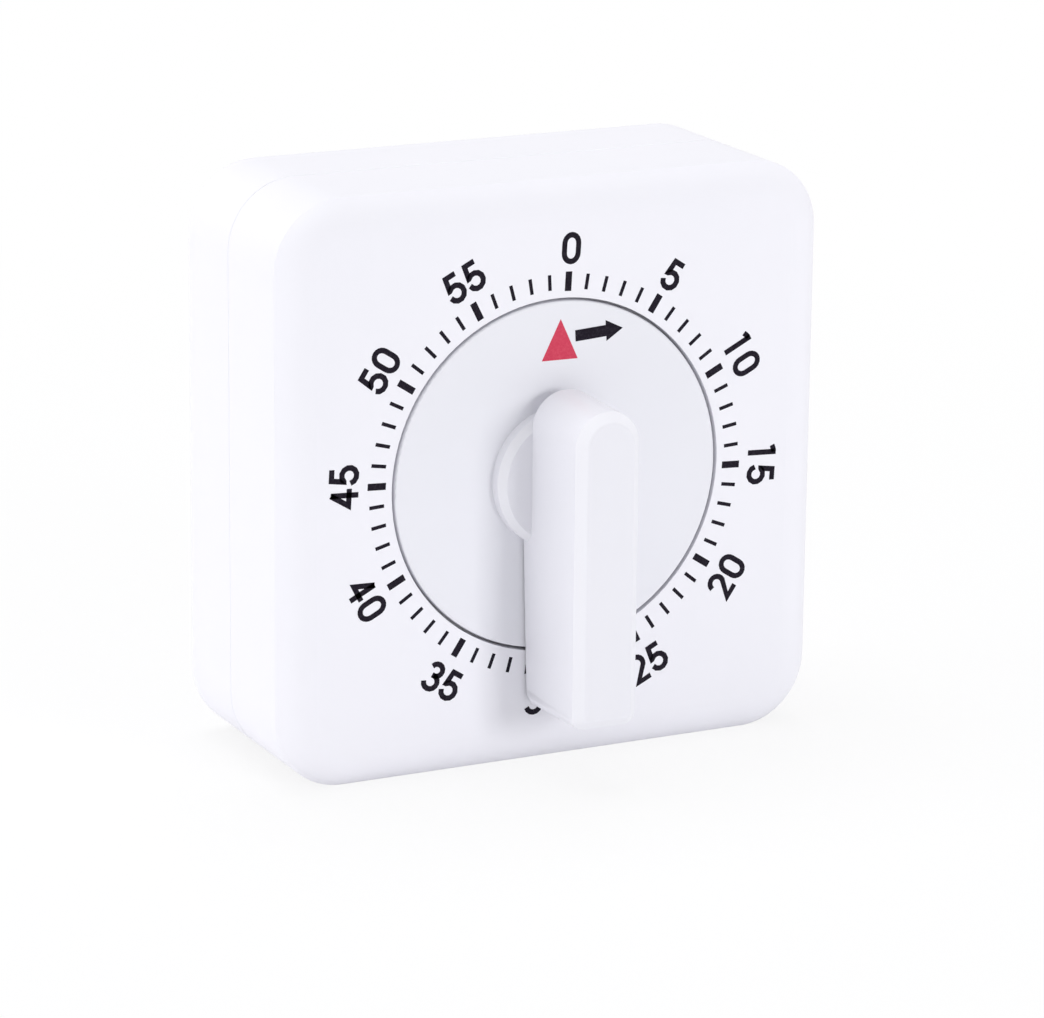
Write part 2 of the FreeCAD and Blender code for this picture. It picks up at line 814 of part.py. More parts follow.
def build_spring_post():
    x, z = around_axis(spring_post_ring, spring_post_angle)
    return rod(x, z, spring_y - spring_strip_thickness, rear_plate_front, spring_post_radius)


# Escapement

def build_escape_wheel():
    x, z = escape_place
    facing = direction(escape_place, balance_place)
    step = 360.0 / escape_teeth
    y0 = escape_wheel_y
    y1 = escape_wheel_y + fine_wheel_thickness
    lean = math.radians(escape_rake)
    half_tip = escape_tip_width / 2 / escape_radius
    half_base = escape_tooth_base / 2 / escape_root_radius
    points = []
    for k in range(escape_teeth):
        middle = math.radians(facing + step / 2 + k * step)
        corners = [
            (escape_root_radius, middle - half_base - lean),
            (escape_radius, middle - half_tip),
            (escape_radius, middle + half_tip),
            (escape_root_radius, middle + half_base - lean),
        ]
        points += [(x + r * math.cos(a), z + r * math.sin(a)) for r, a in corners]
    wheel = prism(points, y0, y1)
    wheel = wheel.cut(spoke_windows(x, z, y0, y1, escape_root_radius - escape_rim, escape_hub_radius))
    return wheel.cut(rod(x, z, y0, y1, train_arbor_radius))


def build_anchor():
    """The anchor, pressed on the balance arbor; its two pallets face the escape wheel."""
    x, z = balance_place
    facing = direction(escape_place, balance_place)
    y0 = escape_wheel_y
    y1 = escape_wheel_y + fine_wheel_thickness
    parts = [rod(x, z, y0, y1, anchor_hub_radius)]
    for side in (-1, 1):
        angle = facing + side * pallet_half_span
        a = math.radians(angle)
        near = escape_radius + pallet_drop
        far = near + pallet_length
        px = escape_place[0] + near * math.cos(a)
        pz = escape_place[1] + near * math.sin(a)
        qx = escape_place[0] + far * math.cos(a)
        qz = escape_place[1] + far * math.sin(a)
        parts.append(bar_between((px, pz), (qx, qz), pallet_width, y0, y1))
        parts.append(bar_between((qx, qz), (x, z), anchor_arm_width, y0, y1))
    body = fuse_all(parts)
    return body.cut(rod(x, z, y0, y1, train_arbor_radius))


def bar_between(start, end, width, y0, y1):
    """A straight bar in a plane across Y, from one (x, z) place to another."""
    length = math.hypot(end[0] - start[0], end[1] - start[1])
    bar = slab(start[0], start[0] + length, y0, y1, start[1] - width / 2, start[1] + width / 2)
    return turn_about(bar, start[0], start[1], direction(start, end))


def build_balance_arbor():
    x, z = balance_place
    shoulder_front = front_plate_back + arbor_shoulder_gap
    shoulder_rear = rear_plate_front - arbor_shoulder_gap
    pivot = rod(x, z, front_plate_front - pivot_proud, rear_plate_back + pivot_proud, pivot_radius)
    return pivot.fuse(rod(x, z, shoulder_front, shoulder_rear, train_arbor_radius)).removeSplitter()


def build_balance_wheel():
    x, z = balance_place
    y1 = balance_y + balance_thickness
    rim = tube(x, z, balance_y, y1, balance_radius, balance_radius - balance_rim)
    half = balance_bar_width / 2
    mid = balance_radius - balance_rim / 2
    bar = slab(x - half, x + half, balance_y, y1, z - mid, z + mid)
    hub = rod(x, z, balance_y, y1, anchor_hub_radius)
    return fuse_all([rim, bar, hub]).cut(rod(x, z, balance_y, y1, train_arbor_radius))


def hairspring_stud_place():
    x, z = balance_place
    a = math.radians(balance_angle + hairspring_stud_turn)
    r = hairspring_outer_radius + hairspring_strip / 2 + stud_radius
    return x + r * math.cos(a), z + r * math.sin(a)


def build_hairspring():
    x, z = balance_place
    inner = collar_radius + hairspring_inner_clearance + hairspring_strip / 2
    return spiral_strip(x, z, hairspring_y, hairspring_height, inner, hairspring_outer_radius,
                        hairspring_turns, hairspring_strip, balance_angle + hairspring_stud_turn)


def build_hairspring_stud():
    x, z = hairspring_stud_place()
    return rod(x, z, hairspring_y - hairspring_height / 2, rear_plate_front, stud_radius)


def build_hairspring_collar():
    x, z = balance_place
    return tube(x, z, hairspring_y, hairspring_y + hairspring_height, collar_radius, train_arbor_radius)


# Striking work

cam_y = rear_plate_back + cam_lift
bell_place = (bell_centre_x, axis_z + bell_centre_rise)
bell_front = rear_plate_back + bell_front_gap
bell_back = back_inner - bell_back_gap
hammer_place = (hammer_pivot_x, axis_z - hammer_pivot_drop)


def build_strike_cam():
    """The cam, whose notch faces the hammer's nose when the dial stands at zero."""
    disc = rod(0, axis_z, cam_y, cam_y + cam_thickness, cam_radius)
    notch = slab(cam_radius - cam_notch_depth, cam_radius + cut_margin, cam_y, cam_y + cam_thickness,
                 axis_z - cam_notch_width / 2, axis_z + cam_notch_width / 2)
    return disc.cut(notch).cut(rod(0, axis_z, cam_y, cam_y + cam_thickness, arbor_radius))


def build_bell():
    x, z = bell_place
    corner = min(bell_corner, bell_back - bell_front - bell_wall)
    outer = rod(x, z, bell_front, bell_back, bell_radius)
    outer = outer.makeFillet(corner, edges_at(outer, bell_back))
    inner = rod(x, z, bell_front, bell_back - bell_wall, bell_radius - bell_wall)
    inner = inner.makeFillet(corner - bell_wall, edges_at(inner, bell_back - bell_wall))
    return outer.cut(inner).cut(rod(x, z, bell_front, bell_back, bell_screw_radius + screw_fit))


def build_bell_post():
    x, z = bell_place
    post = rod(x, z, rear_plate_back, bell_back - bell_wall, bell_post_radius)
    depth = bell_screw_length + bell_screw_spare
    hole = rod(x, z, bell_back - bell_wall - depth, bell_back - bell_wall, bell_screw_radius + screw_fit)
    return post.cut(hole)


def build_bell_screw():
    x, z = bell_place
    face = bell_back + bell_screw_head_height
    head = slotted(rod(x, z, bell_back, face, bell_screw_head_radius), x, z, face, bell_screw_head_radius, -1)
    shank = rod(x, z, bell_back - bell_wall - bell_screw_length, bell_back, bell_screw_radius)
    return head.fuse(shank).removeSplitter()


def hammer_head_place():
    a = math.radians(hammer_bell_angle)
    r = bell_radius + hammer_bell_gap + hammer_head_radius
    return bell_place[0] + r * math.cos(a), bell_place[1] + r * math.sin(a)


def hammer_nose_place():
    return cam_radius + hammer_nose_gap + hammer_arm_width / 2, axis_z


def build_hammer_arm():
    x, z = hammer_place
    y1 = cam_y + hammer_arm_thickness
    parts = [rod(x, z, cam_y, y1, hammer_hub_radius)]
    for place in (hammer_head_place(), hammer_nose_place()):
        parts.append(bar_between(hammer_place, place, hammer_arm_width, cam_y, y1))
        parts.append(rod(place[0], place[1], cam_y, y1, hammer_arm_width / 2))
    body = fuse_all(parts)
    return body.cut(rod(x, z, cam_y, y1, hammer_pin_radius + running_clearance))


def build_hammer_head():
    x, z = hammer_head_place()
    y0 = cam_y + hammer_arm_thickness
    return rod(x, z, y0, y0 + hammer_head_height, hammer_head_radius)


def build_hammer_pin():
    x, z = hammer_place
    top = cam_y + hammer_arm_thickness + running_clearance
    pin = rod(x, z, rear_plate_back, top, hammer_pin_radius)
    return pin.fuse(rod(x, z, top, top + hammer_washer_thickness, hammer_washer_radius)).removeSplitter()


def build_hammer_spacer():
    x, z = hammer_place
    return tube(x, z, rear_plate_back, cam_y - running_clearance, hammer_washer_radius, hammer_pin_radius)


def build_hammer_spring():
    """A leaf spring on a riveted foot, with its tip beside the arm that reaches the cam."""
    nose = hammer_nose_place()
    along = math.radians(direction(hammer_place, nose))
    reach = math.hypot(nose[0] - hammer_place[0], nose[1] - hammer_place[1]) - hammer_spring_tip_back
    aside = hammer_arm_width / 2 + hammer_spring_gap + hammer_spring_thickness / 2
    tip = (hammer_place[0] + reach * math.cos(along) + aside * math.sin(along),
           hammer_place[1] + reach * math.sin(along) - aside * math.cos(along))
    splay = along - math.radians(hammer_spring_splay)
    foot = (tip[0] + hammer_spring_length * math.cos(splay), tip[1] + hammer_spring_length * math.sin(splay))
    strip = bar_between(tip, foot, hammer_spring_thickness, cam_y, cam_y + hammer_spring_height)
    post = rod(foot[0], foot[1], rear_plate_back, cam_y + hammer_spring_height, hammer_spring_foot_radius)
    return strip.fuse(post).removeSplitter()


pieces = {
    "front_shell": build_front_shell,
    "rear_shell": build_rear_shell,
    "case_screws": build_case_screws,
    "magnets": build_magnets,
    "dial_disc": build_dial_disc,
    "lever_knob": build_lever_knob,
    "front_plate": build_front_plate,
    "rear_plate": build_rear_plate,
    "pillars": build_pillars,
    "pillar_screws": build_pillar_screws,
    "post_screws": build_post_screws,
    "main_arbor": build_main_arbor,
    "arbor_clip": build_arbor_clip,
    "great_wheel": build_great_wheel,
    "clutch_spring": build_clutch_spring,
    "clutch_collet": build_clutch_collet,
    "spring_hub": build_spring_hub,
    "mainspring": build_mainspring,
    "spring_post": build_spring_post,
    "second_wheel": build_second_wheel,
    "second_pinion": build_second_pinion,
    "third_wheel": build_third_wheel,
    "third_pinion": build_third_pinion,
    "escape_wheel": build_escape_wheel,
    "escape_pinion": build_escape_pinion,
    "anchor": build_anchor,
    "balance_arbor": build_balance_arbor,
    "balance_wheel": build_balance_wheel,
    "hairspring": build_hairspring,
    "hairspring_stud": build_hairspring_stud,
    "hairspring_collar": build_hairspring_collar,
    "strike_cam": build_strike_cam,
    "bell": build_bell,
    "bell_post": build_bell_post,
    "bell_screw": build_bell_screw,
    "hammer_arm": build_hammer_arm,
    "hammer_head": build_hammer_head,
    "hammer_pin": build_hammer_pin,
    "hammer_spacer": build_hammer_spacer,
    "hammer_spring": build_hammer_spring,
}

os.makedirs("parts", exist_ok=True)
for name, build in pieces.items():
    shape = build()
    save(shape, name)
    print(name, len(shape.Solids), round(shape.Volume, 2), shape.isValid())
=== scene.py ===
import json
import math

import bmesh
import bpy
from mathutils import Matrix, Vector


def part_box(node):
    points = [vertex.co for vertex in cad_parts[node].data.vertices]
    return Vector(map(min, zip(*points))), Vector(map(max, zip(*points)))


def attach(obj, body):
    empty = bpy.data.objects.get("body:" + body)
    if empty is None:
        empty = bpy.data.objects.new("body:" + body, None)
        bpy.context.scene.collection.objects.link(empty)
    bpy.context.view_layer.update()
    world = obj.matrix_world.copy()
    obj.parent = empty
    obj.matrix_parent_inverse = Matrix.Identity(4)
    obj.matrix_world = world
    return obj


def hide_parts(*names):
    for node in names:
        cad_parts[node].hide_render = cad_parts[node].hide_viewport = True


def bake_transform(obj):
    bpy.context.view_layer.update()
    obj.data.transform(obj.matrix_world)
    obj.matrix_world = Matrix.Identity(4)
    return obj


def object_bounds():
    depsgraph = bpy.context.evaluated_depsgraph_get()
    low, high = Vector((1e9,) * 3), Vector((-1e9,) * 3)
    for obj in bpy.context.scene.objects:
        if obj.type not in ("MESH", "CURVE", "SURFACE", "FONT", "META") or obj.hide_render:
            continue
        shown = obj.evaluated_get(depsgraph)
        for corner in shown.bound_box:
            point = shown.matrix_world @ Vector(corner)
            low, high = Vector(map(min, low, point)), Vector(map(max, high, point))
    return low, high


# Looks of a square wind-up countdown timer, built round its solid parts.
# Metres: the dial faces -Y, +Z is up and the origin is on the ground under the case.

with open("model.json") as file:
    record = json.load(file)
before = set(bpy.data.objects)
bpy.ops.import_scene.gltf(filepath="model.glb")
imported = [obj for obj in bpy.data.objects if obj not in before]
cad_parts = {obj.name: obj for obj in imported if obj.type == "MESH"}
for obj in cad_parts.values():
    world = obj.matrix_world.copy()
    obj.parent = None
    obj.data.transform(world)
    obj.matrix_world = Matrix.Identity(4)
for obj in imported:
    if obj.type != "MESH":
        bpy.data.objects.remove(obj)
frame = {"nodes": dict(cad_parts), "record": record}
solidLow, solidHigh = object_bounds()
scene = bpy.context.scene
mm = 0.001
print("solid parts loaded:", len(frame["nodes"]))

# Where the dial sits, read from the solid parts
discLow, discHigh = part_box("dial_disc")
faceY = discLow.y
axisX = (discLow.x + discHigh.x) / 2
axisZ = (discLow.z + discHigh.z) / 2


# Shader building

# A node with its plain inputs and properties set by name
def addNode(tree, kind, place=(0, 0), **values):
    node = tree.nodes.new(kind)
    node.location = place
    for name, value in values.items():
        socket = name.replace("_", " ")
        if socket in node.inputs:
            node.inputs[socket].default_value = value
        else:
            setattr(node, name, value)
    return node


def startMaterial(name):
    material = bpy.data.materials.new(name)
    material.use_nodes = True
    tree = material.node_tree
    tree.nodes.clear()
    out = addNode(tree, "ShaderNodeOutputMaterial", (900, 0))
    shader = addNode(tree, "ShaderNodeBsdfPrincipled", (600, 0))
    tree.links.new(shader.outputs["BSDF"], out.inputs["Surface"])
    return material, tree, shader


# Object coordinates; the squeeze packs a pattern closer along each axis
def objectPlace(tree, squeeze=(1, 1, 1)):
    coords = addNode(tree, "ShaderNodeTexCoord", (-920, 0))
    scale = addNode(tree, "ShaderNodeVectorMath", (-740, 0), operation="MULTIPLY")
    scale.inputs[1].default_value = squeeze
    tree.links.new(coords.outputs["Object"], scale.inputs[0])
    return scale.outputs["Vector"]


def noiseField(tree, place, scale, detail, roughness=0.5):
    noise = addNode(tree, "ShaderNodeTexNoise", (-520, 0), Scale=scale, Detail=detail, Roughness=roughness)
    tree.links.new(place, noise.inputs["Vector"])
    return noise.outputs["Fac"]


def mapValue(tree, value, low, high, fromLow=0.0, fromHigh=1.0):
    node = addNode(tree, "ShaderNodeMapRange", (-300, -200))
    for name, number in (("From Min", fromLow), ("From Max", fromHigh), ("To Min", low), ("To Max", high)):
        node.inputs[name].default_value = number
    tree.links.new(value, node.inputs["Value"])
    return node.outputs["Result"]


# The first colour may come from another node
def blendColours(tree, share, first, second):
    node = addNode(tree, "ShaderNodeMix", (-300, 200), data_type="RGBA")
    firstColour, secondColour = node.inputs[6], node.inputs[7]  # by name, A and B would be numbers
    if isinstance(first, tuple):
        firstColour.default_value = (*first, 1)
    else:
        tree.links.new(first, firstColour)
    secondColour.default_value = (*second, 1)
    tree.links.new(share, node.inputs["Factor"])
    return node.outputs[2]


def bumpOver(tree, height, strength, depth, under=None):
    node = addNode(tree, "ShaderNodeBump", (300, -300), Strength=strength, Distance=depth)
    tree.links.new(height, node.inputs["Height"])
    if under:
        tree.links.new(under, node.inputs["Normal"])
    return node.outputs["Normal"]


# Moulded plastics

# Mask for the painted highlight on the front edges: 1 on the slopes between the front and the sides, 0 on
# the front and on the sides
def frontSlopes(tree, look):
    coords = addNode(tree, "ShaderNodeTexCoord", (-1100, 400))
    parts = addNode(tree, "ShaderNodeSeparateXYZ", (-900, 400))
    away = addNode(tree, "ShaderNodeMath", (-700, 400), operation="ADD")
    away.inputs[1].default_value = look["tilt"]
    size = addNode(tree, "ShaderNodeMath", (-500, 400), operation="ABSOLUTE")
    tree.links.new(coords.outputs["Normal"], parts.inputs[0])
    tree.links.new(parts.outputs["Y"], away.inputs[0])
    tree.links.new(away.outputs[0], size.inputs[0])
    return mapValue(tree, size.outputs[0], 1.0, 0.0, 0.0, look["reach"])


# Satin moulding: a fine sparked grain, a slow waviness, and faint flow marks in tone and gloss
def mouldedPlastic(name, look):
    material, tree, shader = startMaterial(name)
    place = objectPlace(tree)
    flow = noiseField(tree, place, look["flowScale"], look["flowDetail"])
    grain = noiseField(tree, place, look["grainScale"], look["grainDetail"], look["grainRoughness"])
    wave = noiseField(tree, place, look["waveScale"], look["waveDetail"])
    tone = mapValue(tree, flow, 0.0, 1.0, look["flowLow"], look["flowHigh"])
    links = tree.links
    colour = blendColours(tree, tone, look["colour"], look["flowColour"])
    # A paler colour laid on the slopes of the front edges, a painted highlight
    if "edges" in look:
        slopes = frontSlopes(tree, look["edges"])
        colour = blendColours(tree, slopes, colour, look["edges"]["colour"])
    links.new(colour, shader.inputs["Base Color"])
    play = look["glossPlay"]
    gloss = mapValue(tree, grain, look["roughness"] - play, look["roughness"] + play)
    links.new(gloss, shader.inputs["Roughness"])
    soft = bumpOver(tree, wave, look["waveStrength"], look["waveDepth"])
    fine = bumpOver(tree, grain, look["grainStrength"], look["grainDepth"], soft)
    links.new(fine, shader.inputs["Normal"])
    shader.inputs["Specular IOR Level"].default_value = look["specular"]
    return material


plasticLook = {
    "colour": (0.885, 0.878, 0.925),
    "flowColour": (0.875, 0.870, 0.918),
    "flowScale": 45.0,
    "flowDetail": 3.0,
    "flowLow": 0.35,        # noise below this is all colour, above flowHigh all flowColour
    "flowHigh": 0.65,
    "grainScale": 5200.0,
    "grainDetail": 3.0,
    "grainRoughness": 0.6,
    "grainStrength": 0.25,
    "grainDepth": 0.012 * mm,
    "waveScale": 90.0,
    "waveDetail": 1.0,
    "waveStrength": 0.25,
    "waveDepth": 0.06 * mm,
    "roughness": 0.55,
    "glossPlay": 0.05,
    "specular": 0.30,
}
# Painted highlight: a paler colour on the slopes of the lever's front edges, where light would catch them
edgeHighlightLook = {
    "colour": (0.848, 0.845, 0.890),
    "tilt": 0.71,           # how much a slope's middle faces the front, 1 being fully
    "reach": 0.30,          # how far from that tilt the edge colour has faded out
}
casePlastic = mouldedPlastic("casePlastic", plasticLook)
dialPlastic = mouldedPlastic("dialPlastic", {
    **plasticLook,
    "colour": (0.828, 0.828, 0.874),
    "flowColour": (0.818, 0.819, 0.866),
    "roughness": 0.46,
})
knobPlastic = mouldedPlastic("knobPlastic", {
    **plasticLook,
    "colour": (0.826, 0.822, 0.870),
    "flowColour": (0.818, 0.815, 0.863),
    "roughness": 0.36,
    # with a painted highlight on its front edges
    "edges": edgeHighlightLook,
})


# Printing inks

# Pad-printed ink: nearly even, a little thin in places, duller than the plastic
def printedInk(name, look):
    material, tree, shader = startMaterial(name)
    place = objectPlace(tree)
    speck = noiseField(tree, place, look["speckScale"], look["speckDetail"], look["speckRoughness"])
    thin = mapValue(tree, speck, 0.0, 1.0, look["thinFrom"], look["thinTo"])
    colour = blendColours(tree, thin, look["colour"], look["thinColour"])
    tree.links.new(colour, shader.inputs["Base Color"])
    tree.links.new(mapValue(tree, speck, look["glossiest"], look["dullest"]), shader.inputs["Roughness"])
    tree.links.new(bumpOver(tree, speck, look["bump"], look["bumpDepth"]), shader.inputs["Normal"])
    shader.inputs["Specular IOR Level"].default_value = look["specular"]
    return material


inkLook = {
    "speckScale": 3500.0,
    "speckDetail": 2.0,
    "speckRoughness": 0.7,
    "thinFrom": 0.45,       # noise below this is all colour, above thinTo all thinColour
    "thinTo": 0.8,
    "glossiest": 0.42,      # roughness where the noise is 0, and dullest where it is 1
    "dullest": 0.58,
    "bump": 0.2,
    "bumpDepth": 0.008 * mm,
    "specular": 0.1,
}
blackInk = printedInk("blackInk", {
    **inkLook,
    "colour": (0.009, 0.006, 0.013),
    "thinColour": (0.030, 0.026, 0.036),
})
redInk = printedInk("redInk", {
    **inkLook,
    "colour": (0.62, 0.055, 0.105),
    "thinColour": (0.68, 0.085, 0.135),
    "speckScale": 3000.0,
    "thinFrom": 0.4,
})


# Metals

# Lathe-turned or rolled metal: fine rings or lines, a little tarnish and uneven gloss
def turnedMetal(name, look):
    material, tree, shader = startMaterial(name)
    place = objectPlace(tree, look["squeeze"])
    lines = noiseField(tree, place, look["lineScale"], look["lineDetail"], look["lineRoughness"])
    cloud = noiseField(tree, objectPlace(tree), look["cloudScale"], look["cloudDetail"])
    shade = mapValue(tree, cloud, 0.0, 1.0, look["cloudLow"], look["cloudHigh"])
    colour = blendColours(tree, shade, look["colour"], look["tarnish"])
    tree.links.new(colour, shader.inputs["Base Color"])
    play = look["glossPlay"]
    gloss = mapValue(tree, lines, look["roughness"] - play, look["roughness"] + play)
    tree.links.new(gloss, shader.inputs["Roughness"])
    tree.links.new(bumpOver(tree, lines, look["lineStrength"], look["lineDepth"]), shader.inputs["Normal"])
    shader.inputs["Metallic"].default_value = 1.0
    return material


metalLook = {
    "colour": (0.66, 0.66, 0.67),
    "tarnish": (0.52, 0.52, 0.54),
    "squeeze": (1, 12, 1),
    "lineScale": 2600.0,
    "lineDetail": 3.0,
    "lineRoughness": 0.6,
    "lineStrength": 0.3,
    "lineDepth": 0.006 * mm,
    "cloudScale": 160.0,
    "cloudDetail": 4.0,
    "cloudLow": 0.4,        # noise below this is all colour, above cloudHigh all tarnish
    "cloudHigh": 0.62,
    "roughness": 0.34,
    "glossPlay": 0.08,
}
metals = {
    "zinc_steel": {"colour": (0.68, 0.70, 0.74), "tarnish": (0.58, 0.59, 0.62), "roughness": 0.30},
    "turned_steel": {"colour": (0.62, 0.62, 0.63), "squeeze": (1, 18, 1), "roughness": 0.27},
    "plate_steel": {"colour": (0.60, 0.60, 0.61), "squeeze": (14, 1, 1), "roughness": 0.38},
    "spring_steel": {"colour": (0.13, 0.16, 0.25), "tarnish": (0.22, 0.18, 0.17), "roughness": 0.25},
    "wheel_brass": {"colour": (0.80, 0.58, 0.25), "tarnish": (0.60, 0.40, 0.17), "roughness": 0.30},
    "bell_steel": {"colour": (0.78, 0.77, 0.75), "tarnish": (0.68, 0.67, 0.66), "roughness": 0.14},
    "magnet_plate": {"colour": (0.70, 0.69, 0.67), "tarnish": (0.60, 0.59, 0.58), "roughness": 0.22},
}
finishes = {slot: turnedMetal(slot + "Finish", {**metalLook, **look}) for slot, look in metals.items()}
finishes["case_plastic"] = casePlastic
finishes["dial_plastic"] = dialPlastic
finishes["knob_plastic"] = knobPlastic
for row in frame["record"]["subparts"]:
    solid = frame["nodes"][row["node"]]
    solid.data.materials.clear()
    solid.data.materials.append(finishes[row["material_slot"]])
print("finishes set")


# Flat printed shapes, built on the face in millimetres as (right, up) from the dial axis

printLook = {
    "height": 0.02 * mm,    # of the ink over the face
    "sunk": 0.005 * mm,     # into the face
    "mitreLimit": 0.5,      # a mitred corner reaches out to half the width over this, at most
}


def facePoint(right, up, y):
    return Vector((axisX + right * mm, y, axisZ + up * mm))


# A thin closed prism over a list of (right, up) corners, sunk a hair into the face
def addPrism(mesh, outline):
    back = faceY + printLook["sunk"]
    front = faceY - printLook["height"]
    low = [mesh.verts.new(facePoint(u, v, back)) for u, v in outline]
    high = [mesh.verts.new(facePoint(u, v, front)) for u, v in outline]
    mesh.faces.new(low)
    mesh.faces.new(high[::-1])
    for i in range(len(outline)):
        j = (i + 1) % len(outline)
        mesh.faces.new((low[i], low[j], high[j], high[i]))


# A ribbon of even width along a path of (right, up) points, with mitred corners and square ends
def addStroke(mesh, path, closed, width):
    count = len(path)
    left, right = [], []
    for i, (u, v) in enumerate(path):
        before = path[i - 1] if closed or i > 0 else None
        after = path[(i + 1) % count] if closed or i < count - 1 else None
        steps = []
        if before:
            steps.append(Vector((u - before[0], v - before[1])).normalized())
        if after:
            steps.append(Vector((after[0] - u, after[1] - v)).normalized())
        along = sum(steps, Vector((0, 0))).normalized()
        side = Vector((-along.y, along.x))
        reach = width / 2 / max(abs(along.dot(steps[0])), printLook["mitreLimit"])
        left.append((u + side.x * reach, v + side.y * reach))
        right.append((u - side.x * reach, v - side.y * reach))
    back = faceY + printLook["sunk"]
    front = faceY - printLook["height"]
    rows = []
    for a, b in zip(left, right):
        corners = ((a, back), (a, front), (b, front), (b, back))
        rows.append([mesh.verts.new(facePoint(*place, y)) for place, y in corners])
    spans = count if closed else count - 1
    for i in range(spans):
        one, two = rows[i], rows[(i + 1) % count]
        for k in range(4):
            mesh.faces.new((one[k], one[(k + 1) % 4], two[(k + 1) % 4], two[k]))
    if not closed:
        mesh.faces.new(rows[0])
        mesh.faces.new(rows[-1][::-1])


def finishMesh(mesh, name, material):
    bmesh.ops.recalc_face_normals(mesh, faces=mesh.faces)
    data = bpy.data.meshes.new(name)
    mesh.to_mesh(data)
    mesh.free()
    data.materials.append(material)
    for face in data.polygons:
        face.use_smooth = False
    piece = bpy.data.objects.new(name, data)
    scene.collection.objects.link(piece)
    return piece


# Numbers round the dial

numberLook = {
    "height": 3.38,        # centre line to centre line of the strokes
    "width": 1.92,
    "stroke": 0.70,
    "pitch": 2.90,         # from digit to digit, the same for all of them
    "ringRadius": 29.3,
    "scaleTurn": 2.9,      # degrees clockwise, of the whole scale
    "minuteTurn": 6,       # degrees from one minute to the next
    "arcSteps": 10,
    "turnedFrom": 20,      # these and up to turnedTo are turned round, to be read from outside
    "turnedTo": 40,
    "nudges": {            # how far each number is printed off its place: clockwise, outwards
        0: (0.18, -0.26), 5: (0.22, -0.30), 10: (0.28, -0.07), 15: (0.13, 0.06),
        20: (0.18, 0.09), 25: (0.06, 0.23), 30: (0.00, -0.12), 35: (-0.32, 0.24),
        40: (0.34, -0.13), 45: (0.26, 0.04), 50: (0.13, -0.14), 55: (0.24, -0.20),
    },
}


# Proportions of the digits: shares of the width where they run across, of the height where they run up
digitLook = {
    "zeroCap": 0.56,                        # height of the round ends, as a share of the width
    "oneFlag": ((0, 0.02), (-0.42, -0.06), (-0.88, -0.26)),  # millimetres from the stem's top
    "twoBow": 0.48,                         # half width
    "twoBowTurn": (172, -28),               # degrees, start and end
    "twoFoot": 0.08,                        # where the base line starts
    "twoOverhang": 0.3,                     # of half a stroke, past the width
    "threeUpper": (0.43, 0.235),            # half width and half height of the bows
    "threeLower": (0.50, 0.270),
    "threeOpening": 165,                    # degrees
    "threeTongue": (0.36, 0.52, 0.535),     # from, to and height
    "fourStem": 0.70,
    "fourBar": 0.27,
    "fourOverhang": 0.7,                    # of half a stroke, past the width
    "fiveBowl": (0.49, 0.52, 0.30),         # middle and half width, and half height
    "fiveBowlTurn": (138, -168),            # degrees, start and end
    "fiveNeck": ((0.92, 1), (0.18, 1), (0.09, 0.50)),
}


# Points on an ellipse from one angle to another, in degrees from the right, upwards
def arcPath(cu, cv, ru, rv, start, end, steps):
    points = []
    for i in range(steps + 1):
        a = math.radians(start + (end - start) * i / steps)
        points.append((cu + ru * math.cos(a), cv + rv * math.sin(a)))
    return points


# A digit's centre lines as (path, closed) pairs, with its lower left corner at 0, 0
def digitStrokes(digit, look, shape):
    w, h, n = look["width"], look["height"], look["arcSteps"]
    half = look["stroke"] / 2
    if digit == "0":
        cap = shape["zeroCap"] * w
        top = arcPath(w / 2, h - cap, w / 2, cap, 0, 180, n)
        bottom = arcPath(w / 2, cap, w / 2, cap, 180, 360, n)
        return [(top + bottom, True)]
    if digit == "1":
        x = w / 2
        flag = [(x + u, h + v) for u, v in shape["oneFlag"]]
        return [([(x, -half), (x, h + half)], False), (flag, False)]
    if digit == "2":
        r = w / 2
        bow = arcPath(r, h - r, shape["twoBow"] * w, r, *shape["twoBowTurn"], n)
        foot = [(shape["twoFoot"] * w, 0), (w + half * shape["twoOverhang"], 0)]
        return [(bow + foot, False)]
    if digit == "3":
        ru, rv = shape["threeUpper"]
        upper = arcPath(w / 2, h - rv * h, ru * w, rv * h, shape["threeOpening"], -90, n)
        ru, rv = shape["threeLower"]
        lower = arcPath(w / 2, rv * h, ru * w, rv * h, 90, -shape["threeOpening"], n)
        left, right, up = shape["threeTongue"]
        return [(upper, False), ([(left * w, up * h), (right * w, up * h)], False), (lower, False)]
    if digit == "4":
        stem = shape["fourStem"] * w
        bar = shape["fourBar"] * h
        arms = [(stem, h), (0.0, bar), (w + half * shape["fourOverhang"], bar)]
        return [(arms, False), ([(stem, -half), (stem, h)], False)]
    cu, ru, rv = shape["fiveBowl"]
    bowl = arcPath(cu * w, rv * h, ru * w, rv * h, *shape["fiveBowlTurn"], n)
    return [([(u * w, v * h) for u, v in shape["fiveNeck"]] + bowl, False)]


def numberPiece(look):
    mesh = bmesh.new()
    for minute, (clockwise, outwards) in look["nudges"].items():
        turn = math.radians(minute * look["minuteTurn"] + look["scaleTurn"])
        outward = Vector((math.sin(turn), math.cos(turn)))
        across = Vector((math.cos(turn), -math.sin(turn)))
        middle = outward * (look["ringRadius"] + outwards) + across * clockwise
        if look["turnedFrom"] <= minute <= look["turnedTo"]:
            outward, across = -outward, -across
        digits = str(minute)
        start = -(look["width"] + look["pitch"] * (len(digits) - 1)) / 2
        for digit in digits:
            for path, closed in digitStrokes(digit, look, digitLook):
                placed = []
                for u, v in path:
                    spot = middle + across * (start + u) + outward * (v - look["height"] / 2)
                    placed.append((spot.x, spot.y))
                addStroke(mesh, placed, closed, look["stroke"])
            start += look["pitch"]
    return finishMesh(mesh, "printedNumbers", blackInk)


numbers = numberPiece(numberLook)
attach(numbers, "case")
print("numbers printed")


# Minute marks, made by one node tree

